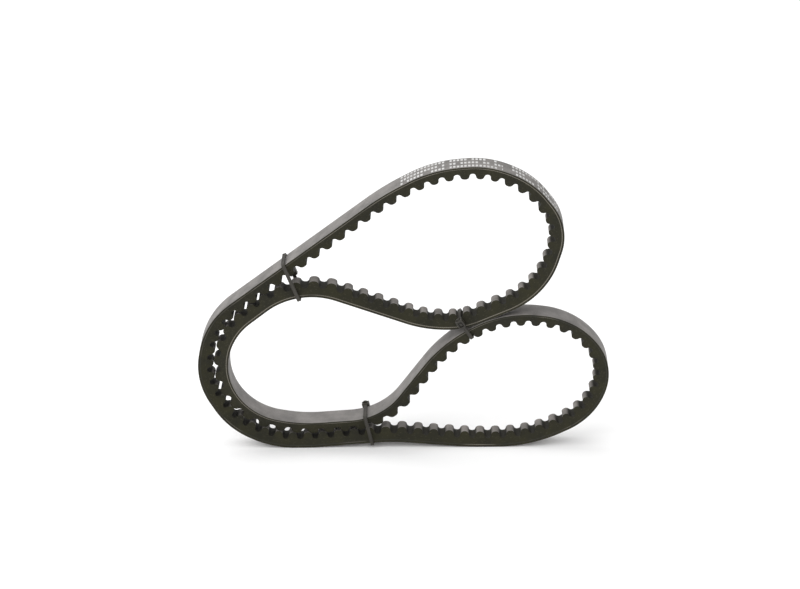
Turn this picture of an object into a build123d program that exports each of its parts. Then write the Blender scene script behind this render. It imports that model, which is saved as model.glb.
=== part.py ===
from build123d import *
import math
import os

os.makedirs("parts", exist_ok=True)

# ---------------------------------------------------------------- dimensions, mm
# Section of the belt. Depth is measured from the flat back towards the cogs.
TOP_WIDTH = 13.0
FLANK_ANGLE = 20.0
BELT_DEPTH = 8.5
FABRIC_DEPTH = 0.7
CORD_DEPTH = 1.5
UNDERCORD_DEPTH = 2.4
CORD_DIAMETER = 1.0
CORD_TURNS = 10
CORD_SPACING = 1.23

# Moulded cogs. The notch between two cogs is a rounded trapezoid.
COG_COUNT = 120
NOTCH_DEPTH = 4.8
NOTCH_ROOT = 2.9
NOTCH_MOUTH = 5.0
ROOT_ROUND = 0.9
TIP_ROUND = 1.4
FIRST_NOTCH = 1.2

# Cable ties: a strap round both layers of the belt, and a head on its side.
STRAP_WIDTH = 2.0
STRAP_THICK = 0.9
TIE_PLAY = 0.3
HEAD_LENGTH = 5.2
HEAD_WIDTH = 4.2
HEAD_THICK = 3.4

# Line of the flat back seen from the front: x, z and rounding radius of each
# corner, going clockwise. The belt stands on its back at z = 0, where both runs
# have a short level stretch.
LOWER_SPLIT = (92.72, 10.64)
OUTER_CORNERS = [
    (72.0, 0.0, 84.0),
    (36.0, 0.0, 180.0),
    (-8.0, 4.0, 125.0),
    (-54.0, 0.0, 100.0),
    (-76.0, 0.0, 54.0),
    (-101.5, 13.0, 46.0),
    (-119.0, 44.0, 45.0),
    (-111.5, 81.5, 49.0),
    (-10.0, 158.5, 150.0),
    (17.0, 173.0, 71.0),
    (48.5, 175.5, 50.0),
    (72.5, 164.5, 46.0),
    (92.5, 138.5, 32.0),
]
UPPER_SPLIT = (87.0, 119.8)
INNER_CORNERS = [
    (80.0, 96.0, 48.0),
    (33.0, 75.3, 46.0),
    (10.5, 76.5, 66.0),
    (-47.6, 98.2, 39.0),
    (-68.5, 94.0, 40.0),
    (-99.5, 69.4, 36.0),
    (-99.0, 23.6, 34.0),
    (-58.7, 16.0, 77.0),
    (-13.5, 19.3, 38.0),
    (23.0, 69.5, 82.0),
    (58.0, 87.0, 60.0),
    (97.0, 82.0, 45.0),
    (119.5, 53.0, 34.0),
    (109.0, 19.0, 42.0),
]

# ---------------------------------------------------------------- back line
with BuildLine(Plane.XZ) as outer_run:
    FilletPolyline(
        LOWER_SPLIT,
        *[(x, z) for x, z, _ in OUTER_CORNERS],
        UPPER_SPLIT,
        radius=[r for _, _, r in OUTER_CORNERS],
    )

with BuildLine(Plane.XZ) as inner_run:
    FilletPolyline(
        UPPER_SPLIT,
        *[(x, z) for x, z, _ in INNER_CORNERS],
        LOWER_SPLIT,
        radius=[r for _, _, r in INNER_CORNERS],
    )

RUNS = [outer_run.wire(), inner_run.wire()]


def section_plane(run, distance=0.0):
    """Plane across the belt: x over its width, y out of its back."""
    along = run.tangent_at(distance, position_mode=PositionMode.LENGTH)
    origin = run.position_at(distance, position_mode=PositionMode.LENGTH)
    return Plane(origin=origin, x_dir=(0, 1, 0), z_dir=along)


def half_width(depth):
    """Half the belt's width at a depth, between its sloping flanks."""
    return TOP_WIDTH / 2 - depth * math.tan(math.radians(FLANK_ANGLE))


def layer_outline(top, bottom):
    """Corners of one layer of the section, between two depths."""
    return [
        (-half_width(top), -top),
        (half_width(top), -top),
        (half_width(bottom), -bottom),
        (-half_width(bottom), -bottom),
    ]


CORD_PLACES = [
    ((i - (CORD_TURNS - 1) / 2) * CORD_SPACING, -CORD_DEPTH) for i in range(CORD_TURNS)
]


def cord_length(edge):
    """Length of the cord line below one straight or curved edge of the back."""
    if edge.geom_type != GeomType.CIRCLE:
        return edge.length
    inward = edge.arc_center - edge.position_at(0.5)
    below = Vector(0, 1, 0).cross(edge.tangent_at(0.5))
    side = 1 if inward.dot(below) > 0 else -1
    return edge.length * (edge.radius - side * CORD_DEPTH) / edge.radius


def notch_places(first, pitch, run):
    """Planes of one run's notches, evenly spaced on the cord line, and the carry."""
    places, reach = [], first
    for edge in run.order_edges():
        length = cord_length(edge)
        while reach < length:
            share = reach / length
            along = edge.tangent_at(share)
            places.append(
                Plane(origin=edge.position_at(share), x_dir=along, z_dir=(0, -1, 0))
            )
            reach += pitch
        reach -= length
    return places, reach


print("length of the back", round(sum(run.length for run in RUNS), 1))
cord_total = sum(cord_length(e) for run in RUNS for e in run.order_edges())
PITCH = cord_total / COG_COUNT
print("length of the cord line", round(cord_total, 1), "pitch", round(PITCH, 3))

outer_places, carry = notch_places(FIRST_NOTCH, PITCH, RUNS[0])
inner_places, _ = notch_places(carry, PITCH, RUNS[1])
print("cogs", len(outer_places) + len(inner_places))

# ---------------------------------------------------------------- belt layers
with BuildPart() as back_fabric:
    for run in RUNS:
        with BuildSketch(section_plane(run)):
            Polygon(*layer_outline(0, FABRIC_DEPTH), align=None)
        sweep(path=run)

with BuildPart() as overcord_rubber:
    for run in RUNS:
        with BuildSketch(section_plane(run)):
            Polygon(*layer_outline(FABRIC_DEPTH, CORD_DEPTH), align=None)
            with Locations(*CORD_PLACES):
                Circle(CORD_DIAMETER / 2, mode=Mode.SUBTRACT)
        sweep(path=run)

with BuildPart() as undercord_rubber:
    for run in RUNS:
        with BuildSketch(section_plane(run)):
            Polygon(*layer_outline(CORD_DEPTH, UNDERCORD_DEPTH), align=None)
            with Locations(*CORD_PLACES):
                Circle(CORD_DIAMETER / 2, mode=Mode.SUBTRACT)
        sweep(path=run)

# The belt is cut from a wide sleeve, so the flanks slice the two outermost turns.
for turn, place in enumerate(CORD_PLACES, start=1):
    with BuildPart() as tensile_cord:
        for run in RUNS:
            with BuildSketch(section_plane(run)):
                with Locations(place):
                    Circle(CORD_DIAMETER / 2)
                Polygon(
                    *layer_outline(FABRIC_DEPTH, UNDERCORD_DEPTH),
                    align=None,
                    mode=Mode.INTERSECT,
                )
            sweep(path=run)
    tensile_cord.part.label = f"tensile_cord_{turn}"
    export_step(tensile_cord.part, f"parts/tensile_cord_{turn}.step")


# ---------------------------------------------------------------- cogged base
# Profile of one notch: x along the belt, y out of its back.
MOUTH_SIDE = NOTCH_MOUTH / 2 + TIP_ROUND
with BuildSketch() as notch:
    with BuildLine():
        Polyline(
            (-NOTCH_ROOT / 2, -NOTCH_DEPTH),
            (NOTCH_ROOT / 2, -NOTCH_DEPTH),
            (NOTCH_MOUTH / 2, -BELT_DEPTH),
            (MOUTH_SIDE, -BELT_DEPTH),
            (MOUTH_SIDE, -BELT_DEPTH - TIP_ROUND),
            (-MOUTH_SIDE, -BELT_DEPTH - TIP_ROUND),
            (-MOUTH_SIDE, -BELT_DEPTH),
            (-NOTCH_MOUTH / 2, -BELT_DEPTH),
            close=True,
        )
    make_face()
    fillet(notch.vertices().sort_by(Axis.Y)[-2:], ROOT_ROUND)
    fillet(
        [v for v in notch.vertices() if abs(abs(v.X) - NOTCH_MOUTH / 2) < 0.01],
        TIP_ROUND,
    )

# The two runs are cut apart before they are joined, because their cogs
# interleave where the ties draw the layers together.
with BuildPart() as outer_cogs:
    with BuildSketch(section_plane(RUNS[0])):
        Polygon(*layer_outline(UNDERCORD_DEPTH, BELT_DEPTH), align=None)
    sweep(path=RUNS[0])
    with BuildSketch(*outer_places, inner_places[0], inner_places[-1]):
        add(notch.sketch)
    extrude(amount=TOP_WIDTH / 2, both=True, mode=Mode.SUBTRACT)

with BuildPart() as inner_cogs:
    with BuildSketch(section_plane(RUNS[1])):
        Polygon(*layer_outline(UNDERCORD_DEPTH, BELT_DEPTH), align=None)
    sweep(path=RUNS[1])
    with BuildSketch(*inner_places, outer_places[0], outer_places[-1]):
        add(notch.sketch)
    extrude(amount=TOP_WIDTH / 2, both=True, mode=Mode.SUBTRACT)

with BuildPart() as cogged_base:
    add(outer_cogs.part)
    add(inner_cogs.part)

# ---------------------------------------------------------------- cable ties
def tie_plane(top, bottom):
    """Plane across a tie: x over the belt, y towards its top, z along the belt."""
    middle = (top + bottom) / 2
    up = (top - bottom).normalized()
    return Plane(origin=middle, x_dir=(0, 1, 0), z_dir=Vector(0, 1, 0).cross(-up))


def notch_root(places, near_x):
    """Middle of the root of the notch nearest to an x position."""
    place = min(places, key=lambda p: abs(p.origin.X - near_x))
    return place.from_local_coords(Vector(0, -NOTCH_DEPTH, 0))


UPPER_TIE_TOP, UPPER_TIE_BOTTOM = Vector(-65.5, 0, 116.4), Vector(-58.0, 0, 96.0)
LOWER_TIE_TOP, LOWER_TIE_BOTTOM = Vector(-22.6, 0, 19.7), Vector(-19.0, 0, 3.0)
lobe_notches = inner_places[:20]
facing_notches = inner_places[-40:]
MIDDLE_TIE_TOP = notch_root(lobe_notches, 32.5)
MIDDLE_TIE_BOTTOM = notch_root(facing_notches, 35.5)

# name, top point, bottom point, allowance over each point, where the head sits
TIES = [
    ("tie_upper", UPPER_TIE_TOP, UPPER_TIE_BOTTOM, 0.75, (1, 0.0)),
    ("tie_lower", LOWER_TIE_TOP, LOWER_TIE_BOTTOM, 0.55, (1, 0.85)),
    ("tie_middle", MIDDLE_TIE_TOP, MIDDLE_TIE_BOTTOM, 0.55, (-1, 0.85)),
]
for name, top, bottom, allowance, (side, head_up) in TIES:
    inside_width = TOP_WIDTH + 2 * TIE_PLAY
    inside_height = (top - bottom).length + 2 * allowance
    face = inside_width / 2
    with BuildPart() as tie:
        # Strap
        with BuildSketch(tie_plane(top, bottom)):
            RectangleRounded(
                inside_width + 2 * STRAP_THICK, inside_height + 2 * STRAP_THICK, 1.5
            )
            RectangleRounded(inside_width, inside_height, 0.6, mode=Mode.SUBTRACT)
        extrude(amount=STRAP_WIDTH / 2, both=True)
        # Head on the side of the belt
        head_plane = tie_plane(top, bottom)
        head_middle = head_plane.from_local_coords(
            Vector(side * (face + HEAD_THICK / 2), head_up * inside_height / 2, 0)
        )
        head_plane.origin = head_middle
        with Locations(head_plane.location):
            Box(HEAD_THICK, HEAD_LENGTH, HEAD_WIDTH)
    tie.part.label = name
    export_step(tie.part, f"parts/{name}.step")

for node, name in (
    (back_fabric, "back_fabric"),
    (overcord_rubber, "overcord_rubber"),
    (undercord_rubber, "undercord_rubber"),
    (cogged_base, "cogged_base"),
):
    node.part.label = name
    export_step(node.part, f"parts/{name}.step")
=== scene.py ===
"""A cogged V belt, bent into two lobes and held by three small cable ties.

Lengths are in metres. Belt space is the belt laid out straight: x runs along its
cord line, y across its width and z out of its flat back, with the cord line at
z = 0. Every belt piece is built there as one short cell, repeated along the belt
and then bent round the bundle by one Geometry Nodes tree.
"""

import bisect
import logging
import math
from dataclasses import dataclass, field
from enum import Enum

import bmesh
import bpy
from mathutils import Matrix, Vector

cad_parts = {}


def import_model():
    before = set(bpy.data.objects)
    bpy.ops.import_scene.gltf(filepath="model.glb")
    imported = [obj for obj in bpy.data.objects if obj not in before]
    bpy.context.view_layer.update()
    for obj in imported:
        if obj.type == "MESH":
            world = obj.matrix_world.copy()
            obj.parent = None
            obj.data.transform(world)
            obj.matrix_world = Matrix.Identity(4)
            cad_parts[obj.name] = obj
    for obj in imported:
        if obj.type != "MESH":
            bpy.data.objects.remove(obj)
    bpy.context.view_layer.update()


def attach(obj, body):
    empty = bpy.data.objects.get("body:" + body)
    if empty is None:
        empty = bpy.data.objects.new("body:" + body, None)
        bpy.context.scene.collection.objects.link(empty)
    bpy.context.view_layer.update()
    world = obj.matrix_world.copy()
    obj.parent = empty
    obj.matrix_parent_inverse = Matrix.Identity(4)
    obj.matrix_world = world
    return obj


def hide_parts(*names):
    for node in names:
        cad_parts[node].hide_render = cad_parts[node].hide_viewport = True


LOG = logging.getLogger("v_belt")
MM = 0.001
SPACE = "belt_space"
MOULDED = "moulded"
INNER_TURNS = range(2, 10)
WELD = 0.01 * MM
MOTTLE_RANGE = (0.34, 0.66)
SPECK_RADIUS = 0.26
SPECK_EDGE = 9.0
BUMP_REACH = 0.1 * MM
BELT_SMOOTH = math.radians(32.0)
TIE_SMOOTH = math.radians(40.0)
Color = tuple[float, float, float]


def spot(x: float, z: float) -> Vector:
    """Returns a point of the bundle's middle plane, given in millimetres."""
    return Vector((x, 0.0, z)) * MM


def linked(name: str, data: bpy.types.ID) -> bpy.types.Object:
    """Returns a new object in the scene that shows the data."""
    made = bpy.data.objects.new(name, data)
    bpy.context.scene.collection.objects.link(made)
    return made


class Head(Enum):
    """Side of the belt that a tie's head sits on."""

    FRONT = -1
    BACK = 1


# ---- belt's line
@dataclass(frozen=True)
class Corner:
    """One rounded corner of the belt's back line, in millimetres."""

    x: float
    z: float
    radius: float

    def place(self) -> Vector:
        """Returns the corner's point in metres."""
        return spot(self.x, self.z)


OUTER_CORNERS = tuple(
    Corner(*row)
    for row in (
        (72.0, 0.0, 84.0),
        (36.0, 0.0, 180.0),
        (-8.0, 4.0, 125.0),
        (-54.0, 0.0, 100.0),
        (-76.0, 0.0, 54.0),
        (-101.5, 13.0, 46.0),
        (-119.0, 44.0, 45.0),
        (-111.5, 81.5, 49.0),
        (-10.0, 158.5, 150.0),
        (17.0, 173.0, 71.0),
        (48.5, 175.5, 50.0),
        (72.5, 164.5, 46.0),
        (92.5, 138.5, 32.0),
    )
)
INNER_CORNERS = tuple(
    Corner(*row)
    for row in (
        (80.0, 96.0, 48.0),
        (33.0, 75.3, 46.0),
        (10.5, 76.5, 66.0),
        (-47.6, 98.2, 39.0),
        (-68.5, 94.0, 40.0),
        (-99.5, 69.4, 36.0),
        (-99.0, 23.6, 34.0),
        (-58.7, 16.0, 77.0),
        (-13.5, 19.3, 38.0),
        (23.0, 69.5, 82.0),
        (58.0, 87.0, 60.0),
        (97.0, 82.0, 45.0),
        (119.5, 53.0, 34.0),
        (109.0, 19.0, 42.0),
    )
)


@dataclass
class BeltLine:
    """The closed line that the belt follows, rounded corner by corner."""

    corners: tuple[Corner, ...] = OUTER_CORNERS + INNER_CORNERS
    start: Vector = field(default_factory=lambda: spot(92.72, 10.64))
    cord_depth: float = 1.5 * MM
    step: float = 0.6 * MM
    points: list[Vector] = field(default_factory=list)
    outs: list[Vector] = field(default_factory=list)
    reach: list[float] = field(default_factory=list)

    def __post_init__(self) -> None:
        """Samples the back line and moves it in to the cord line."""
        back: list[tuple[Vector, Vector]] = []
        count = len(self.corners)
        here = self.start
        for i, corner in enumerate(self.corners):
            at = corner.place()
            before = self.corners[i - 1].place()
            after = self.corners[(i + 1) % count].place()
            back += self._corner_points(before, at, after, corner.radius * MM, here)
            here = back[-1][0]
        self._straight(back, here, self.start, (self.start - here).normalized())
        along = 0.0
        last: Vector | None = None
        for point, tangent in back:
            out = tangent.cross(Vector((0.0, 1.0, 0.0)))
            cord = point - out * self.cord_depth
            if last is not None:
                along += (cord - last).length
            self.points.append(cord)
            self.outs.append(out)
            self.reach.append(along)
            last = cord

    def _straight(
        self, line: list[tuple[Vector, Vector]], a: Vector, b: Vector, way: Vector
    ) -> None:
        """Adds evenly spaced points from a up to b, without b.

        Args:
            line: point and direction pairs, added to.
            a: start of the run.
            b: end of the run.
            way: the run's direction.
        """
        count = max(1, round((b - a).length / self.step))
        for i in range(count):
            line.append((a.lerp(b, i / count), way))

    def _corner_points(
        self, before: Vector, at: Vector, after: Vector, radius: float, here: Vector
    ) -> list[tuple[Vector, Vector]]:
        """Rounds one corner, with the straight run that leads to it.

        Args:
            before: the corner before.
            at: this corner.
            after: the next corner.
            radius: rounding radius of this corner.
            here: where the line has reached.

        Returns:
            Point and direction pairs.
        """
        line: list[tuple[Vector, Vector]] = []
        way_in = (at - before).normalized()
        way_out = (after - at).normalized()
        turn = math.atan2(way_in.cross(way_out).y, way_in.dot(way_out))
        trim = radius * math.tan(abs(turn) / 2)
        first = at - way_in * trim
        self._straight(line, here, first, way_in)
        side = Matrix.Rotation(math.copysign(math.pi / 2, turn), 3, "Y") @ way_in
        centre = first + side * radius
        count = max(2, round(radius * abs(turn) / self.step))
        for i in range(count):
            spin = Matrix.Rotation(turn * i / count, 3, "Y")
            line.append((centre + spin @ (first - centre), spin @ way_in))
        line.append((at + way_out * trim, way_out))
        return line

    @property
    def length(self) -> float:
        """Returns the cord line's whole length."""
        return self.reach[-1] + (self.points[0] - self.points[-1]).length

    def along_at(self, x: float, z: float) -> float:
        """Finds a place on the belt.

        Args:
            x: position along the bundle.
            z: height.

        Returns:
            Distance along the cord line of the nearest point.
        """
        aim = Vector((x, 0.0, z))
        best = min(range(len(self.points)), key=lambda i: (self.points[i] - aim).length)
        return self.reach[best]

    def at(self, along: float) -> tuple[Vector, Vector]:
        """Returns the cord line's point, and its outward direction, at a distance."""
        i = bisect.bisect_left(self.reach, along % self.length) % len(self.reach)
        return self.points[i], self.outs[i]

    def curve(self) -> bpy.types.Object:
        """Returns the cord line as a closed curve object, for the bending tree."""
        data = bpy.data.curves.new("cord_line", "CURVE")
        data.dimensions = "3D"
        spline = data.splines.new("POLY")
        spline.points.add(len(self.points) - 1)
        for place, point in zip(spline.points, self.points):
            place.co = (*point, 1.0)
        spline.use_cyclic_u = True
        return linked("cord_line", data)


# ---- node helpers
class Nodes:
    """Adds and links nodes in one tree, with few words."""

    def __init__(self, tree: bpy.types.NodeTree) -> None:
        """Keeps the tree."""
        self.tree = tree

    def add(
        self, kind: str, settings: dict[str, object] | None = None, **inputs: object
    ) -> bpy.types.Node:
        """Adds a node.

        Args:
            kind: the node's bl_idname.
            settings: attributes of the node itself.
            inputs: socket values or links, by name with _ for a space, or by
                number as _0, _1 and so on.

        Returns:
            The new node.
        """
        node = self.tree.nodes.new(kind)
        for name, value in (settings or {}).items():
            setattr(node, name, value)
        for name, value in inputs.items():
            key = int(name[1:]) if name[1:].isdigit() else name.replace("_", " ")
            self.feed(node.inputs[key], value)
        return node

    def feed(self, socket: bpy.types.NodeSocket, value: object) -> None:
        """Links an output to a socket, or sets the socket's value."""
        if isinstance(value, bpy.types.NodeSocket):
            self.tree.links.new(value, socket)
        elif isinstance(value, bpy.types.Node):
            self.tree.links.new(value.outputs[0], socket)
        else:
            socket.default_value = value

    def math(
        self, operation: str, a: object, b: object = 0.0, c: object | None = None
    ) -> bpy.types.NodeSocket:
        """Returns the result of one Math node, whose third input c may be left."""
        node = self.add("ShaderNodeMath", {"operation": operation}, _0=a, _1=b)
        if c is not None:
            self.feed(node.inputs[2], c)
        return node.outputs[0]

    def ramp(
        self, value: object, low: float, high: float, kind: str = "LINEAR"
    ) -> bpy.types.NodeSocket:
        """Returns a value mapped so that low gives 0 and high gives 1."""
        settings = {"interpolation_type": kind}
        node = self.add(
            "ShaderNodeMapRange", settings, Value=value, From_Min=low, From_Max=high
        )
        return node.outputs[0]

    def vector(
        self, operation: str, a: object, b: object | None = None
    ) -> bpy.types.NodeSocket:
        """Returns the result of one Vector Math node."""
        node = self.add("ShaderNodeVectorMath", {"operation": operation}, _0=a)
        if b is not None:
            self.feed(node.inputs[1], b)
        return node.outputs[0]


# ---- bending tree
def bending_tree() -> bpy.types.NodeTree:
    """Makes the tree that repeats a straight cell and bends it round the bundle.

    Returns:
        A Geometry Nodes tree with the inputs Cell, Line, Count, Pitch, Start,
        Finish and Moulded.
    """
    tree = bpy.data.node_groups.new("bend_round_bundle", "GeometryNodeTree")
    face = tree.interface
    kinds = {
        "Cell": "NodeSocketGeometry",
        "Line": "NodeSocketObject",
        "Count": "NodeSocketInt",
        "Pitch": "NodeSocketFloat",
        "Start": "NodeSocketFloat",
        "Finish": "NodeSocketMaterial",
        "Moulded": "NodeSocketMaterial",
    }
    for name, kind in kinds.items():
        face.new_socket(name, in_out="INPUT", socket_type=kind)
    face.new_socket("Belt", in_out="OUTPUT", socket_type="NodeSocketGeometry")
    kit = Nodes(tree)
    given = kit.add("NodeGroupInput").outputs
    step = kit.add("ShaderNodeCombineXYZ", X=given["Pitch"])
    row = kit.add(
        "GeometryNodeMeshLine", {"mode": "OFFSET"}, Count=given["Count"], Offset=step
    )
    repeated = kit.add(
        "GeometryNodeInstanceOnPoints", Points=row, Instance=given["Cell"]
    )
    real = kit.add("GeometryNodeRealizeInstances", Geometry=repeated)
    place = kit.add("GeometryNodeInputPosition").outputs[0]
    named = kit.add(
        "GeometryNodeStoreNamedAttribute",
        {"data_type": "FLOAT_VECTOR", "domain": "CORNER"},
        Geometry=real,
        Name=SPACE,
        Value=place,
    )
    parts = kit.add("ShaderNodeSeparateXYZ", Vector=place).outputs
    line = kit.add("GeometryNodeObjectInfo", Object=given["Line"]).outputs["Geometry"]
    whole = kit.add("GeometryNodeCurveLength", Curve=line).outputs[0]
    along = kit.math("ADD", parts["X"], given["Start"])
    along = kit.math("FLOORED_MODULO", along, whole)
    sample = kit.add(
        "GeometryNodeSampleCurve", {"mode": "LENGTH"}, Curves=line, Length=along
    ).outputs
    across = (0.0, 1.0, 0.0)
    out = kit.vector("CROSS_PRODUCT", sample["Tangent"], across)
    out = kit.vector("NORMALIZE", out)
    raised = kit.add("ShaderNodeVectorMath", {"operation": "SCALE"}, _0=out)
    kit.feed(raised.inputs["Scale"], parts["Z"])
    wide = kit.add("ShaderNodeCombineXYZ", Y=parts["Y"])
    spot = kit.vector("ADD", sample["Position"], raised.outputs[0])
    spot = kit.vector("ADD", spot, wide.outputs[0])
    bent = kit.add("GeometryNodeSetPosition", Geometry=named, Position=spot)
    closed = kit.add("GeometryNodeMergeByDistance", Geometry=bent, Distance=WELD)
    cut = kit.add("GeometryNodeSetMaterial", Geometry=closed, Material=given["Finish"])
    moulded = kit.add(
        "GeometryNodeInputNamedAttribute", {"data_type": "BOOLEAN"}, Name=MOULDED
    )
    done = kit.add(
        "GeometryNodeSetMaterial",
        Geometry=cut,
        Selection=moulded.outputs["Attribute"],
        Material=given["Moulded"],
    )
    kit.add("NodeGroupOutput", Belt=done)
    return tree


def plain_mesh(made: bpy.types.Object, name: str) -> bpy.types.Object:
    """Turns an object with modifiers into a plain mesh object.

    Args:
        made: the object, removed afterwards.
        name: name of the new object.

    Returns:
        The new object, at the origin.
    """
    bpy.context.view_layer.update()
    graph = bpy.context.evaluated_depsgraph_get()
    mesh = bpy.data.meshes.new_from_object(
        made.evaluated_get(graph), preserve_all_data_layers=True, depsgraph=graph
    )
    bpy.data.objects.remove(made)
    mesh.name = name
    return linked(name, mesh)


def mesh_object(bm: bmesh.types.BMesh, name: str) -> bpy.types.Object:
    """Writes a bmesh to a new linked object and frees it."""
    mesh = bpy.data.meshes.new(name)
    bm.to_mesh(mesh)
    bm.free()
    return linked(name, mesh)


def smooth(piece: bpy.types.Object, angle: float) -> None:
    """Shades a piece smooth, but for edges sharper than an angle in radians."""
    piece.data.shade_smooth()
    piece.data.set_sharp_from_angle(angle=angle)


# ---- finishes
@dataclass(frozen=True)
class RubberFinish:
    """Cut or moulded rubber, with its chopped fibres and, where a tip colour is given,
    a painted highlight on the cog tips.
    """

    name: str
    dark: Color = (0.0100, 0.0094, 0.0032)
    light: Color = (0.0235, 0.0220, 0.0092)
    fibre: Color = (0.070, 0.062, 0.040)
    fibre_share: float = 0.45
    # Painted highlight colour, laid on lighter towards the cog tips in place of the
    # overhead light's sheen.
    tip_sheen: Color | None = None
    sheen_from: float = -5.2 * MM
    sheen_to: float = -6.9 * MM
    roughness: float = 0.62
    uneven: float = 0.16
    specular: float = 0.28
    bump: float = 0.35
    streak: Vector = field(default_factory=lambda: Vector((260.0, 900.0, 900.0)))


@dataclass(frozen=True)
class FabricFinish:
    """Rubberised fabric with pale printed bars."""

    name: str
    dark: Color = (0.125, 0.118, 0.112)
    light: Color = (0.215, 0.202, 0.192)
    print_color: Color = (0.66, 0.66, 0.65)
    roughness: float = 0.58
    weft: float = 0.75 * MM
    warp: float = 0.55 * MM
    weave_tone: float = 0.10
    bump: float = 0.4


@dataclass(frozen=True)
class PrintLayout:
    """Where the printed bars lie: blocks by their ends in millimetres."""

    blocks: tuple[tuple[float, float, float, float], ...] = (
        (0.3, 162.5, 24.0, 170.0),
        (27.0, 171.5, 55.0, 171.0),
        (60.0, 170.0, 84.0, 147.0),
    )
    cell: float = 2.0 * MM
    row: float = 4.4 * MM
    bar_share: float = 0.62
    kept_share: float = 0.82
    half_height: float = 0.27
    fading: float = -0.45
    fresh: float = 0.95


@dataclass(frozen=True)
class CordFinish:
    """Cut tensile cord, bared along some stretches of the flank."""

    name: str
    fibre: Color = (0.21, 0.19, 0.155)
    hidden: Color = (0.016, 0.015, 0.009)
    lay: float = 1.1 * MM
    bared_from: float = 0.60
    bared_half: float = 0.541
    bared_swing: float = 0.16
    bared_range: tuple[float, float] = (0.42, 0.58)
    slant: float = 1.6
    roughness: float = 0.7
    bump: float = 0.5


@dataclass(frozen=True)
class NylonFinish:
    """Black moulded nylon."""

    name: str
    dark: Color = (0.016, 0.0140, 0.0095)
    light: Color = (0.034, 0.030, 0.022)
    roughness: float = 0.46
    bump: float = 0.12


def grain_group() -> bpy.types.NodeTree:
    """Makes the shader group that every finish uses for its fine surface.

    Returns:
        A tree with the inputs Place, Stretch and Detail and the outputs Mottle,
        Speck and Height.
    """
    tree = bpy.data.node_groups.new("surface_grain", "ShaderNodeTree")
    face = tree.interface
    face.new_socket("Place", in_out="INPUT", socket_type="NodeSocketVector")
    face.new_socket("Stretch", in_out="INPUT", socket_type="NodeSocketVector")
    face.new_socket("Detail", in_out="INPUT", socket_type="NodeSocketFloat")
    for name in ("Mottle", "Speck", "Height"):
        face.new_socket(name, in_out="OUTPUT", socket_type="NodeSocketFloat")
    kit = Nodes(tree)
    given = kit.add("NodeGroupInput").outputs
    stretched = kit.vector("MULTIPLY", given["Place"], given["Stretch"])
    fine = kit.add(
        "ShaderNodeTexNoise", Vector=stretched, Scale=3.0, Detail=4.0, Roughness=0.6
    )
    broad = kit.add(
        "ShaderNodeTexNoise",
        Vector=given["Place"],
        Scale=95.0,
        Detail=5.0,
        Roughness=0.62,
    )
    specks = kit.add(
        "ShaderNodeTexVoronoi", {"feature": "F1"}, Vector=stretched, Scale=1.6
    )
    near = kit.math("SUBTRACT", SPECK_RADIUS, specks.outputs["Distance"])
    near = kit.add(
        "ShaderNodeMath",
        {"operation": "MULTIPLY", "use_clamp": True},
        _0=near,
        _1=SPECK_EDGE,
    )
    mottle = kit.ramp(broad.outputs[0], *MOTTLE_RANGE)
    height = kit.math("MULTIPLY", fine.outputs[0], given["Detail"])
    kit.add("NodeGroupOutput", Mottle=mottle, Speck=near, Height=height)
    return tree


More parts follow.
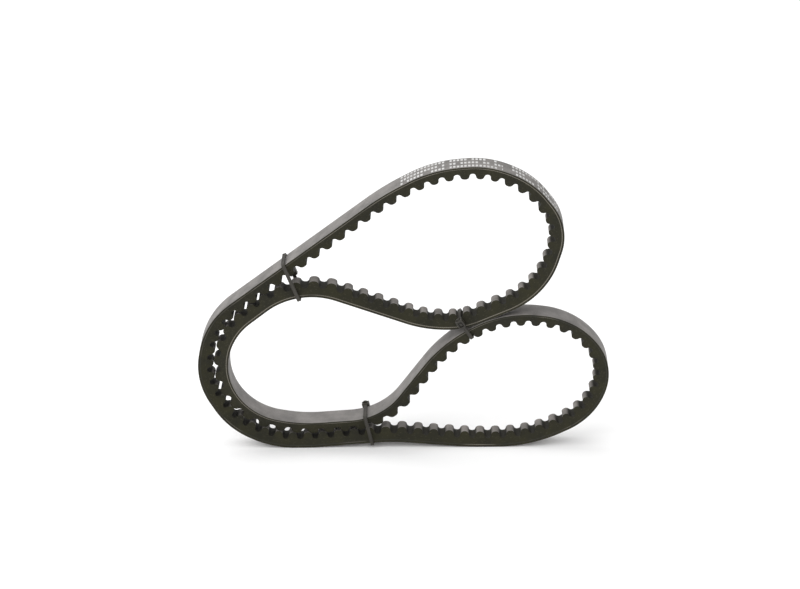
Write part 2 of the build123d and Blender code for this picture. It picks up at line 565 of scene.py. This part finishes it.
class Workshop:
    """Makes the materials, with the shader group they share."""

    def __init__(self, line: BeltLine) -> None:
        """Builds the shared group and keeps the belt's line."""
        self.grain = grain_group()
        self.line = line

    def _begin(self, name: str) -> tuple[bpy.types.Material, Nodes, bpy.types.Node]:
        """Starts a material.

        Args:
            name: the material's name.

        Returns:
            The material, its node helper and its Principled BSDF.
        """
        material = bpy.data.materials.new(name)
        material.use_nodes = True
        material.node_tree.nodes.clear()
        kit = Nodes(material.node_tree)
        shader = kit.add("ShaderNodeBsdfPrincipled")
        kit.add("ShaderNodeOutputMaterial", Surface=shader.outputs[0])
        return material, kit, shader

    def _space(self, kit: Nodes) -> bpy.types.NodeSocket:
        """Returns the belt-space coordinates stored on the piece."""
        node = kit.add("ShaderNodeAttribute", {"attribute_name": SPACE})
        return node.outputs["Vector"]

    def _grain(
        self, kit: Nodes, place: object, stretch: Vector, detail: float
    ) -> bpy.types.Node:
        """Places the shared grain group.

        Args:
            kit: the material's node helper.
            place: coordinates to read.
            stretch: scale of the fine grain along each axis.
            detail: strength of the height.

        Returns:
            The group node.
        """
        node = kit.add("ShaderNodeGroup", {"node_tree": self.grain})
        kit.feed(node.inputs["Place"], place)
        node.inputs["Stretch"].default_value = stretch
        node.inputs["Detail"].default_value = detail
        return node

    def _mix(
        self, kit: Nodes, share: object, a: object, b: object
    ) -> bpy.types.NodeSocket:
        """Returns a colour mixed from a to b by share."""
        node = kit.add("ShaderNodeMix", {"data_type": "RGBA"})
        kit.feed(node.inputs[0], share)
        kit.feed(node.inputs[6], (*a, 1.0) if isinstance(a, tuple) else a)
        kit.feed(node.inputs[7], (*b, 1.0) if isinstance(b, tuple) else b)
        return node.outputs[2]

    def _finish(
        self,
        kit: Nodes,
        shader: bpy.types.Node,
        color: object,
        roughness: object,
        height: object,
        strength: float,
    ) -> None:
        """Feeds the shader its colour, its roughness and its bumped normal."""
        kit.feed(shader.inputs["Base Color"], color)
        kit.feed(shader.inputs["Roughness"], roughness)
        bump = kit.add(
            "ShaderNodeBump", Height=height, Strength=strength, Distance=BUMP_REACH
        )
        kit.feed(shader.inputs["Normal"], bump)

    def rubber(self, finish: RubberFinish) -> bpy.types.Material:
        """Makes a rubber material in belt space.

        Args:
            finish: its colours and grain.

        Returns:
            The material.
        """
        material, kit, shader = self._begin(finish.name)
        space = self._space(kit)
        grain = self._grain(kit, space, finish.streak, 1.0)
        body = self._mix(kit, grain.outputs["Mottle"], finish.dark, finish.light)
        # Painted highlight: lighter towards the cog tips, standing in for the overhead
        # light's sheen on their rounded tops; the valleys keep the dark base colour.
        if finish.tip_sheen is not None:
            parts = kit.add("ShaderNodeSeparateXYZ", Vector=space).outputs
            rise = kit.ramp(parts["Z"], finish.sheen_from, finish.sheen_to, "SMOOTHSTEP")
            tone_and_sheen_share = kit.math("MULTIPLY_ADD", grain.outputs["Mottle"], 0.5, 0.5)
            tone_and_sheen_share = kit.math("MULTIPLY", rise, tone_and_sheen_share)
            body = self._mix(kit, tone_and_sheen_share, body, finish.tip_sheen)
        share = kit.math("MULTIPLY", grain.outputs["Speck"], finish.fibre_share)
        color = self._mix(kit, share, body, finish.fibre)
        shader.inputs["Specular IOR Level"].default_value = finish.specular
        mottle = grain.outputs["Mottle"]
        rough = kit.math("MULTIPLY_ADD", mottle, finish.uneven, finish.roughness)
        self._finish(kit, shader, color, rough, grain.outputs["Height"], finish.bump)
        return material

    def fabric(self, finish: FabricFinish, start: float) -> bpy.types.Material:
        """Makes the back's fabric, with three lines of printed bars.

        Args:
            finish: its colours.
            start: where belt space begins on the cord line.

        Returns:
            The material.
        """
        material, kit, shader = self._begin(finish.name)
        space = self._space(kit)
        grain = self._grain(kit, space, Vector((700.0, 240.0, 700.0)), 0.7)
        parts = kit.add("ShaderNodeSeparateXYZ", Vector=space).outputs
        weft = kit.math("MULTIPLY", parts["X"], 2 * math.pi / finish.weft)
        weft = kit.math("SINE", weft)
        warp = kit.math("MULTIPLY", parts["Y"], 2 * math.pi / finish.warp)
        warp = kit.math("SINE", warp)
        weave = kit.math("MULTIPLY", weft, warp)
        mottle = grain.outputs["Mottle"]
        tone_and_sheen_share = kit.math("MULTIPLY_ADD", weave, finish.weave_tone, mottle)
        body = self._mix(kit, tone_and_sheen_share, finish.dark, finish.light)
        share = kit.math("MULTIPLY", grain.outputs["Speck"], 0.25)
        body = self._mix(kit, share, body, finish.light)
        printed = self._printed(kit, parts, grain, start)
        color = self._mix(kit, printed, body, finish.print_color)
        height = kit.math("MULTIPLY_ADD", weave, 0.5, grain.outputs["Height"])
        self._finish(kit, shader, color, finish.roughness, height, finish.bump)
        return material

    def _printed(
        self, kit: Nodes, parts: object, grain: bpy.types.Node, start: float
    ) -> bpy.types.NodeSocket:
        """Masks the printed bars: three lines of short bars in three blocks.

        Args:
            kit: the material's node helper.
            parts: the separated belt-space outputs.
            grain: the placed grain group.
            start: where belt space begins on the cord line.

        Returns:
            The mask, from 0 to 1.
        """
        layout = PrintLayout()
        total: object = 0.0
        for x0, z0, x1, z1 in layout.blocks:
            first = (self.line.along_at(x0 * MM, z0 * MM) - start) % self.line.length
            last = (self.line.along_at(x1 * MM, z1 * MM) - start) % self.line.length
            half = (last - first) / 2
            inside = kit.math("COMPARE", parts["X"], (first + last) / 2, half)
            total = kit.math("ADD", total, inside)
        cell = kit.math("DIVIDE", parts["X"], layout.cell)
        row = kit.math("DIVIDE", parts["Y"], layout.row)
        row_number = kit.math("ROUND", row)
        seed = kit.add("ShaderNodeCombineXYZ", X=kit.math("FLOOR", cell), Y=row_number)
        chance = kit.add(
            "ShaderNodeTexWhiteNoise", {"noise_dimensions": "2D"}, Vector=seed
        )
        within = kit.math("FRACT", cell)
        bar = kit.math("LESS_THAN", within, layout.bar_share)
        kept = kit.math("LESS_THAN", chance.outputs[0], layout.kept_share)
        bar = kit.math("MULTIPLY", bar, kept)
        height = kit.math("ABSOLUTE", kit.math("SUBTRACT", row, row_number))
        tall = kit.math("LESS_THAN", height, layout.half_height)
        mask = kit.math("MULTIPLY", kit.math("MULTIPLY", bar, tall), total)
        mottle = grain.outputs["Mottle"]
        faded = kit.math("MULTIPLY_ADD", mottle, layout.fading, layout.fresh)
        return kit.math("MULTIPLY", mask, faded)

    def cord(self, finish: CordFinish) -> bpy.types.Material:
        """Makes the cord's material, in belt space, bared here and there.

        Args:
            finish: its colours.

        Returns:
            The material.
        """
        material, kit, shader = self._begin(finish.name)
        space = self._space(kit)
        grain = self._grain(kit, space, Vector((500.0, 1500.0, 1500.0)), 0.6)
        parts = kit.add("ShaderNodeSeparateXYZ", Vector=space).outputs
        lean = kit.math("MULTIPLY", parts["Z"], finish.slant)
        slanted = kit.math("ADD", parts["X"], lean)
        turn = kit.math("MULTIPLY", slanted, 2 * math.pi / finish.lay)
        ply = kit.math("MULTIPLY_ADD", kit.math("SINE", turn), 0.5, 0.5)
        stretch = kit.vector("MULTIPLY", space, (28.0, 28.0, 0.0))
        patch = kit.add("ShaderNodeTexNoise", Vector=stretch, Scale=1.0, Detail=3.0)
        reach = kit.math("SUBTRACT", parts["X"], finish.bared_from)
        wave = kit.math("MULTIPLY", reach, math.pi / finish.bared_half)
        wave = kit.math("COSINE", wave)
        uneven = kit.math("MULTIPLY_ADD", wave, finish.bared_swing, patch.outputs[0])
        bared = kit.ramp(uneven, *finish.bared_range)
        share = kit.math("MULTIPLY_ADD", ply, 0.5, 0.45)
        share = kit.math("MULTIPLY", share, bared)
        color = self._mix(kit, share, finish.hidden, finish.fibre)
        height = kit.math("ADD", ply, grain.outputs["Height"])
        self._finish(kit, shader, color, finish.roughness, height, finish.bump)
        return material

    def nylon(self, finish: NylonFinish) -> bpy.types.Material:
        """Makes the ties' nylon, in object space.

        Args:
            finish: its colours.

        Returns:
            The material.
        """
        material, kit, shader = self._begin(finish.name)
        place = kit.add("ShaderNodeTexCoord").outputs["Object"]
        grain = self._grain(kit, place, Vector((500.0, 500.0, 500.0)), 0.5)
        color = self._mix(kit, grain.outputs["Mottle"], finish.dark, finish.light)
        height = grain.outputs["Height"]
        self._finish(kit, shader, color, finish.roughness, height, finish.bump)
        return material


# ---- the belt
@dataclass
class BeltSection:
    """Sizes of the belt's section, with depths measured from the flat back."""

    width: float = 13.0 * MM
    depth: float = 8.5 * MM
    flank_angle: float = math.radians(20.0)
    fabric: float = 0.7 * MM
    cord: float = 1.5 * MM
    base: float = 2.4 * MM
    web: float = 4.8 * MM

    def half(self, depth: float) -> float:
        """Returns half the belt's width at a depth."""
        return self.width / 2 - depth * math.tan(self.flank_angle)

    def high(self, depth: float) -> float:
        """Returns a depth's height above the cord line."""
        return self.cord - depth


@dataclass
class Notch:
    """Profile of the rounded notch between two cogs."""

    root: float = 2.9 * MM
    mouth: float = 5.0 * MM
    root_round: float = 1.65 * MM
    tip_round: float = 2.2 * MM
    arc_steps: int = 6

    def outline(self, pitch: float, section: BeltSection) -> list[tuple[float, float]]:
        """Draws one cell's underside, from mid-cog to mid-cog.

        Args:
            pitch: length of one cell.
            section: the belt's section.

        Returns:
            Pairs of distance along the belt and depth.
        """
        mid = pitch / 2
        run = (self.mouth - self.root) / 2
        drop = section.depth - section.web
        lean = math.atan2(run, drop)
        turn = math.pi / 2 - lean
        tip_trim = self.tip_round * math.tan(turn / 2)
        root_trim = self.root_round * math.tan(turn / 2)
        half: list[tuple[float, float]] = [(0.0, section.depth)]
        start = mid - self.mouth / 2 - tip_trim
        for i in range(self.arc_steps + 1):
            a = turn * i / self.arc_steps
            x = start + self.tip_round * math.sin(a)
            half.append((x, section.depth - self.tip_round * (1 - math.cos(a))))
        end = mid - self.root / 2 + root_trim
        for i in range(self.arc_steps + 1):
            a = turn * (1 - i / self.arc_steps)
            x = end - self.root_round * math.sin(a)
            half.append((x, section.web + self.root_round * (1 - math.cos(a))))
        other = [(pitch - x, d) for x, d in reversed(half)]
        return half + [(mid, section.web)] + other


@dataclass
class Belt:
    """The endless belt: fabric back, gum layers, cord line and cogged base."""

    line: BeltLine
    shop: Workshop
    section: BeltSection = field(default_factory=BeltSection)
    notch: Notch = field(default_factory=Notch)
    cogs: int = 120
    first_notch: float = 1.2 * MM
    edge: float = 0.16 * MM
    cord_width: float = 0.42 * MM
    cord_proud: float = 0.05 * MM
    cord_sunk: float = 0.4 * MM
    bared_depth: float = 1.3 * MM
    gum_edge: float = 0.02 * MM
    cell_steps: int = 8
    cord_steps: int = 6
    flank_rows: int = 4

    def __post_init__(self) -> None:
        """Works out the pitch and makes the bending tree and its line."""
        self.pitch = self.line.length / self.cogs
        self.start = (self.first_notch - self.pitch / 2) % self.line.length
        self.tree = bending_tree()
        self.curve = self.line.curve()
        self.cut = self.shop.rubber(RubberFinish("cut_rubber"))

    def _bend(
        self,
        cell: bpy.types.Object,
        name: str,
        finish: bpy.types.Material,
        moulded: bpy.types.Material,
    ) -> bpy.types.Object:
        """Repeats a cell along the belt and bends it round the bundle.

        Args:
            cell: one straight cell, used up.
            name: the piece's name.
            finish: material of its cut faces.
            moulded: material of the faces marked as moulded.

        Returns:
            The piece.
        """
        modifier = cell.modifiers.new("bend", "NODES")
        modifier.node_group = self.tree
        values = {
            "Line": self.curve,
            "Count": self.cogs,
            "Pitch": self.pitch,
            "Start": self.start,
            "Finish": finish,
            "Moulded": moulded,
        }
        for item in self.tree.interface.items_tree:
            if item.in_out == "INPUT" and item.name in values:
                modifier[item.identifier] = values[item.name]
        piece = plain_mesh(cell, name)
        smooth(piece, BELT_SMOOTH)
        LOG.info("%s: %d faces", name, len(piece.data.polygons))
        return piece

    def _strip_cell(
        self, name: str, top: float, bottom: float, crown: float
    ) -> bpy.types.Object:
        """Makes one cell of a flat layer of the belt.

        Args:
            name: name of the cell.
            top: depth of its upper face.
            bottom: depth of its lower face.
            crown: how far its upper edges are rounded down.

        Returns:
            The cell, with its ends open.
        """
        section = self.section
        reach = section.half(top)
        half = [
            (reach, top + crown),
            (reach - crown * 0.4, top + crown * 0.35),
            (reach - crown, top),
            (reach * 0.5, top),
        ]
        upper = [(-y, d) for y, d in half] + [(0.0, top)] + half[::-1]
        ring = upper + [(section.half(bottom), bottom), (-section.half(bottom), bottom)]
        return self._ring_cell(name, ring, len(upper) - 1)

    def _ring_cell(
        self, name: str, ring: list[tuple[float, float]], upper: int = 0
    ) -> bpy.types.Object:
        """Sweeps a section straight along one cell, with open ends.

        Args:
            name: name of the cell.
            ring: pairs of place across the belt and depth, all round.
            upper: how many faces at the ring's start are moulded, not cut.

        Returns:
            The cell.
        """
        bm = bmesh.new()
        moulded = bm.faces.layers.bool.new(MOULDED)
        columns: list[list[bmesh.types.BMVert]] = []
        for i in range(self.cell_steps + 1):
            x = self.pitch * i / self.cell_steps
            columns.append(
                [bm.verts.new((x, y, self.section.high(d))) for y, d in ring]
            )
        for a, b in zip(columns, columns[1:]):
            for j in range(len(ring)):
                k = (j + 1) % len(ring)
                face = bm.faces.new((a[j], b[j], b[k], a[k]))
                face[moulded] = j < upper
        bmesh.ops.recalc_face_normals(bm, faces=bm.faces)
        return mesh_object(bm, name)

    def back(self) -> bpy.types.Object:
        """Builds the fabric back.

        Returns:
            The piece.
        """
        cell = self._strip_cell("back_cell", 0.0, self.section.fabric, self.edge)
        fabric = self.shop.fabric(FabricFinish("back_fabric"), self.start)
        return self._bend(cell, "belt_back", self.cut, fabric)

    def gum(self) -> bpy.types.Object:
        """Builds the gum layers round the cord.

        Returns:
            The piece.
        """
        cell = self._strip_cell(
            "gum_cell", self.section.fabric, self.section.base, self.gum_edge
        )
        return self._bend(cell, "belt_gum", self.cut, self.cut)

    def cut_cord(
        self, name: str, side: int, finish: bpy.types.Material
    ) -> bpy.types.Object:
        """Builds the outermost turn of the cord, which the flank slices open.

        Args:
            name: the piece's name.
            side: -1 for the front flank, 1 for the back one.
            finish: its material.

        Returns:
            The piece.
        """
        section = self.section
        half = self.cord_width / 2
        ring: list[tuple[float, float]] = []
        for i in range(self.cord_steps + 1):
            a = math.pi * i / self.cord_steps
            depth = self.bared_depth - half * math.cos(a)
            ring.append((section.half(depth) + self.cord_proud * math.sin(a), depth))
        for depth in (self.bared_depth + half, self.bared_depth - half):
            ring.append((section.half(depth) - self.cord_sunk, depth))
        cell = self._ring_cell(name + "_cell", [(side * y, d) for y, d in ring])
        return self._bend(cell, name, finish, finish)

    def base(self) -> bpy.types.Object:
        """Builds the cogged base, with cut flanks and moulded cogs.

        Returns:
            The piece.
        """
        section = self.section
        outline = self.notch.outline(self.pitch, section)
        bm = bmesh.new()
        moulded = bm.faces.layers.bool.new(MOULDED)
        rows = self.flank_rows
        rings: list[list[bmesh.types.BMVert]] = []
        for x, depth in outline:
            ring: list[tuple[float, float]] = []
            sides = [
                section.base + (depth - section.base) * j / rows
                for j in range(rows + 1)
            ]
            ring += [(-section.half(d), d) for d in sides]
            low = section.half(depth)
            ring += [(low * k / 2, depth) for k in (-1, 0, 1)]
            ring += [(section.half(d), d) for d in reversed(sides)]
            rings.append([bm.verts.new((x, y, section.high(d))) for y, d in ring])
        under = range(rows, rows + 4)
        for a, b in zip(rings, rings[1:]):
            for j in range(len(a)):
                k = (j + 1) % len(a)
                face = bm.faces.new((a[j], a[k], b[k], b[j]))
                face[moulded] = j in under
        bmesh.ops.recalc_face_normals(bm, faces=bm.faces)
        cell = mesh_object(bm, "cog_cell")
        land = self.shop.rubber(
            RubberFinish(
                "moulded_rubber",
                dark=(0.011, 0.0100, 0.0065),
                light=(0.022, 0.0200, 0.0145),
                fibre=(0.13, 0.12, 0.11),
                fibre_share=0.2,
                # painted sheen colour of the cog tips
                tip_sheen=(0.215, 0.200, 0.188),
                roughness=0.62,
                specular=0.22,
                bump=0.25,
            )
        )
        return self._bend(cell, "belt_cogs", self.cut, land)

    def notch_root(self, x: float, z: float) -> Vector:
        """Finds the middle of the root of a notch.

        Args:
            x: position along the bundle.
            z: height.

        Returns:
            The root of the notch nearest to that place.
        """
        roots = []
        for i in range(self.cogs):
            cord, out = self.line.at(self.first_notch + i * self.pitch)
            roots.append(cord + out * self.section.high(self.section.web))
        aim = Vector((x, 0.0, z))
        return min(roots, key=lambda root: (root - aim).length)

    def clear(self) -> None:
        """Removes the curve and the tree that the pieces were bent with."""
        bpy.data.objects.remove(self.curve)
        bpy.data.node_groups.remove(self.tree)


# ---- cable ties
@dataclass
class CableTie:
    """A mini cable tie: strap, head with its window, and trimmed tail."""

    name: str
    top: Vector
    bottom: Vector
    allowance: float
    head: Head
    head_up: float
    inside_width: float = 13.6 * MM
    strap_width: float = 2.0 * MM
    strap_thick: float = 0.9 * MM
    head_size: Vector = field(default_factory=lambda: Vector((3.4, 5.2, 4.2)) * MM)
    tail: float = 0.9 * MM
    tooth: float = 0.4 * MM
    groove: float = 0.16 * MM
    corner_steps: int = 6
    inner_round: float = 0.6 * MM
    outer_round: float = 1.5 * MM
    strap_soft: float = 0.18 * MM
    rail_width: float = 0.38 * MM
    rail_slope: float = 0.1 * MM
    head_soft: float = 0.35 * MM
    window_rim: float = 0.5 * MM
    window_depth: float = 0.9 * MM
    slot_rim: float = 0.35 * MM
    slot_depth: float = 0.5 * MM
    pawl_size: Vector = field(default_factory=lambda: Vector((0.7, 1.9, 1.5)) * MM)
    pawl_soft: float = 0.15 * MM
    tail_thick: float = 0.85 * MM
    tail_width: float = 1.8 * MM
    tail_soft: float = 0.12 * MM

    def frame(self) -> Matrix:
        """Returns the tie's own axes: across, up and along the belt."""
        up = (self.top - self.bottom).normalized()
        across = Vector((0.0, 1.0, 0.0))
        along = across.cross(-up)
        turned = Matrix((across, up, along)).transposed().to_4x4()
        return Matrix.Translation((self.top + self.bottom) / 2) @ turned

    @property
    def tall(self) -> float:
        """Returns half the height of the tie's inside."""
        return (self.top - self.bottom).length / 2 + self.allowance

    def _loop(self, grow: float, radius: float) -> list[Vector]:
        """Draws the strap's path as a rounded rectangle.

        Args:
            grow: how far outside the tie's inside it lies.
            radius: corner radius.

        Returns:
            Points in the tie's own plane, evenly many on every path.
        """
        wide = self.inside_width / 2 + grow
        tall = self.tall + grow
        points: list[Vector] = []
        signs = ((1, 1), (-1, 1), (-1, -1), (1, -1))
        for quarter, (sx, sy) in enumerate(signs):
            centre = Vector((sx * (wide - radius), sy * (tall - radius), 0.0))
            for i in range(self.corner_steps + 1):
                a = math.radians(90 * (quarter + i / self.corner_steps))
                points.append(centre + Vector((math.cos(a), math.sin(a), 0.0)) * radius)
            nx, ny = signs[(quarter + 1) % 4]
            a = math.radians(90 * (quarter + 1))
            after = Vector((nx * (wide - radius), ny * (tall - radius), 0.0))
            after += Vector((math.cos(a), math.sin(a), 0.0)) * radius
            run = self.inside_width if quarter % 2 == 0 else 2 * self.tall
            count = 2 * round(run / (2 * self.tooth))
            here = points[-1]
            points += [here.lerp(after, k / count) for k in range(1, count)]
        return points

    def _strap(self, bm: bmesh.types.BMesh) -> None:
        """Adds the strap, with softened edges, two rails and fine teeth between."""
        inner = self._loop(0.0, self.inner_round)
        outer = self._loop(self.strap_thick, self.outer_round)
        half = self.strap_width / 2
        soft = self.strap_soft
        rail = half - self.rail_width
        sunk = rail - self.rail_slope
        rings: list[list[bmesh.types.BMVert]] = []
        for i, (a, b) in enumerate(zip(inner, outer)):
            way = (b - a).normalized()
            span = (b - a).length
            groove = span - (self.groove if i % 2 else self.groove * 0.35)
            profile = (
                (soft, -half),
                (span - soft, -half),
                (span, -half + soft),
                (span, -rail),
                (groove, -sunk),
                (groove, sunk),
                (span, rail),
                (span, half - soft),
                (span - soft, half),
                (soft, half),
                (0.0, half - soft),
                (0.0, -half + soft),
            )
            rings.append(
                [bm.verts.new(a + way * r + Vector((0.0, 0.0, w))) for r, w in profile]
            )
        for i, ring in enumerate(rings):
            after = rings[(i + 1) % len(rings)]
            for j in range(len(ring)):
                k = (j + 1) % len(ring)
                bm.faces.new((ring[j], ring[k], after[k], after[j]))

    def _block(
        self, bm: bmesh.types.BMesh, middle: Vector, size: Vector, soft: float
    ) -> None:
        """Adds a block with softened edges.

        Args:
            bm: the mesh.
            middle: centre of the block.
            size: its three sides.
            soft: rounding of its edges.
        """
        made = bmesh.ops.create_cube(bm, size=1.0)["verts"]
        for v in made:
            v.co = Vector(a * b for a, b in zip(v.co, size)) + middle
        edges = list(dict.fromkeys(e for v in made for e in v.link_edges))
        bmesh.ops.bevel(
            bm, geom=edges, offset=soft, segments=2, profile=0.5, affect="EDGES"
        )

    def _recess(
        self, bm: bmesh.types.BMesh, place: Vector, margin: float, depth: float
    ) -> None:
        """Sinks a recess in a flat face.

        Args:
            bm: the mesh.
            place: middle of the face.
            margin: rim left round the recess.
            depth: depth of the recess.
        """
        bm.normal_update()
        flat = min(bm.faces, key=lambda f: (f.calc_center_median() - place).length)
        bmesh.ops.inset_region(bm, faces=[flat], thickness=margin, use_even_offset=True)
        bmesh.ops.inset_region(bm, faces=[flat], thickness=0.05 * MM, depth=-depth)

    def _head(self, bm: bmesh.types.BMesh) -> None:
        """Adds the head, with its window and pawl, its slot and the cut tail."""
        size = self.head_size
        side = self.head.value
        face = self.inside_width / 2
        middle = Vector((side * (face + size.x / 2), self.head_up * self.tall, 0.0))
        outside = middle + Vector((side * size.x / 2, 0.0, 0.0))
        above = middle + Vector((0.0, size.y / 2, 0.0))
        self._block(bm, middle, size, self.head_soft)
        self._recess(bm, outside, self.window_rim, self.window_depth)
        self._recess(bm, above, self.slot_rim, self.slot_depth)
        pawl = outside - Vector((side * 0.75, 0.35, 0.0)) * MM
        self._block(bm, pawl, self.pawl_size, self.pawl_soft)
        rise = self.tail / 2 - self.slot_depth
        tail = above + Vector((side * 0.35 * MM, rise, 0.0))
        tall = self.tail + 2 * self.slot_depth
        tail_size = Vector((self.tail_thick, tall, self.tail_width))
        self._block(bm, tail, tail_size, self.tail_soft)

    def build(self, finish: bpy.types.Material) -> bpy.types.Object:
        """Builds the tie.

        Args:
            finish: its material.

        Returns:
            The piece.
        """
        bm = bmesh.new()
        self._strap(bm)
        self._head(bm)
        bmesh.ops.transform(bm, matrix=self.frame(), verts=bm.verts)
        bmesh.ops.recalc_face_normals(bm, faces=bm.faces)
        piece = mesh_object(bm, self.name)
        piece.data.materials.append(finish)
        smooth(piece, TIE_SMOOTH)
        LOG.info("%s: %d faces", self.name, len(piece.data.polygons))
        return piece


# ---- stage
@dataclass(frozen=True)
class Lamp:
    """One square area lamp that faces the bundle, in metres and watts."""

    name: str
    place: tuple[float, float, float]
    size: float
    power: float


LAMPS = (
    Lamp("overhead", (-0.5, 0.0, 1.25), 2.2, 16.0),
    Lamp("front_left", (-1.1, -1.0, 0.8), 1.4, 4.5),
)


@dataclass
class Stage:
    """Floor, light and camera."""

    target: Vector = field(default_factory=lambda: spot(-1.618, 95.032))
    elevation: float = math.radians(26.33)
    azimuth: float = math.radians(0.91)
    tilt: float = math.radians(0.8925)
    distance: float = 1.182
    lens: float = 95.2
    sensor: float = 36.0
    floor_half: float = 6.0
    floor_tone: float = 0.93
    sky_strength: float = 0.82

    def floor(self) -> None:
        """Lays a plain pale floor."""
        bm = bmesh.new()
        bmesh.ops.create_grid(bm, x_segments=1, y_segments=1, size=self.floor_half)
        floor = mesh_object(bm, "floor")
        material = bpy.data.materials.new("pale_floor")
        material.use_nodes = True
        shader = material.node_tree.nodes["Principled BSDF"]
        tone = self.floor_tone
        shader.inputs["Base Color"].default_value = (tone, tone, tone, 1.0)
        shader.inputs["Roughness"].default_value = 0.9
        shader.inputs["Specular IOR Level"].default_value = 0.1
        floor.data.materials.append(material)

    def light(self) -> None:
        """Hangs two large soft lights and a pale sky all round."""
        world = bpy.data.worlds.new("pale_room")
        world.use_nodes = True
        sky = world.node_tree.nodes["Background"]
        sky.inputs["Color"].default_value = (1.0, 1.0, 1.0, 1.0)
        sky.inputs["Strength"].default_value = self.sky_strength
        bpy.context.scene.world = world
        for lamp in LAMPS:
            self._lamp(lamp)

    def _lamp(self, lamp: Lamp) -> None:
        """Hangs one lamp and turns it to the bundle.

        Args:
            lamp: its name, place, size and power.
        """
        data = bpy.data.lights.new(lamp.name, "AREA")
        data.size = lamp.size
        data.energy = lamp.power
        hung = linked(lamp.name, data)
        hung.location = lamp.place
        aim = self.target - hung.location
        hung.rotation_euler = aim.to_track_quat("-Z", "Y").to_euler()

    def camera(self) -> None:
        """Sets the camera at the bundle's usual viewing angle."""
        away = Vector(
            (
                math.sin(self.azimuth) * math.cos(self.elevation),
                -math.cos(self.azimuth) * math.cos(self.elevation),
                math.sin(self.elevation),
            )
        )
        level = Matrix.Rotation(self.tilt, 3, "Y")
        right = (-away).cross(Vector((0.0, 0.0, 1.0))).normalized()
        up = right.cross(-away)
        axes = Matrix((level @ right, level @ up, level @ away)).transposed()
        data = bpy.data.cameras.new("camera")
        data.lens = self.lens
        data.sensor_width = self.sensor
        data.clip_start = 0.05
        camera = linked("camera", data)
        place = self.target + level @ away * self.distance
        camera.matrix_world = Matrix.Translation(place) @ axes.to_4x4()
        bpy.context.scene.camera = camera


def cover_inner_cords(cord: bpy.types.Material) -> None:
    """Gives the cord turns inside the belt, which stay as they are, their look.

    Args:
        cord: the cord's material.
    """
    for turn in INNER_TURNS:
        materials = bpy.data.objects[f"tensile_cord_{turn}"].data.materials
        materials.clear()
        materials.append(cord)


def main() -> None:
    """Builds the belt and its ties round the frame, and sets the stage."""
    logging.basicConfig(level=logging.INFO, format="%(name)s %(message)s")
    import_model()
    bpy.context.scene.view_settings.view_transform = "Standard"
    line = BeltLine()
    LOG.info("cord line %.4f m", line.length)
    shop = Workshop(line)
    belt = Belt(line, shop)
    cord = shop.cord(CordFinish("tensile_cord"))
    pieces = (
        (belt.back(), "back_fabric", ("back_fabric",)),
        (belt.gum(), "belt_rubber", ("overcord_rubber", "undercord_rubber")),
        (belt.base(), "cog_rubber", ("cogged_base",)),
        (belt.cut_cord("cut_cord_front", -1, cord), "cord", ("tensile_cord_1",)),
        (belt.cut_cord("cut_cord_rear", 1, cord), "cord", ("tensile_cord_10",)),
    )
    upper = (spot(-65.5, 116.4), spot(-58.0, 96.0))
    lower = (spot(-22.6, 19.7), spot(-19.0, 3.0))
    middle = (
        belt.notch_root(32.5 * MM, 80.0 * MM),
        belt.notch_root(35.5 * MM, 69.0 * MM),
    )
    belt.clear()
    for piece, slot, nodes in pieces:
        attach(piece, "belt")
        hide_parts(*nodes)
    nylon = shop.nylon(NylonFinish("black_nylon"))
    ties = (
        ("upper_tie", "tie_upper", upper, 0.75 * MM, Head.BACK, 0.0),
        ("lower_tie", "tie_lower", lower, 0.55 * MM, Head.BACK, 0.85),
        ("belt", "tie_middle", middle, 0.55 * MM, Head.FRONT, 0.85),
    )
    for body, node, ends, allowance, head, head_up in ties:
        tie = CableTie(f"cable_{node}", *ends, allowance, head, head_up)
        piece = tie.build(nylon)
        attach(piece, body)
        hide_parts(node)
    cover_inner_cords(cord)
    stage = Stage()
    stage.floor()
    stage.light()
    stage.camera()


if __name__ == "__main__":
    main()
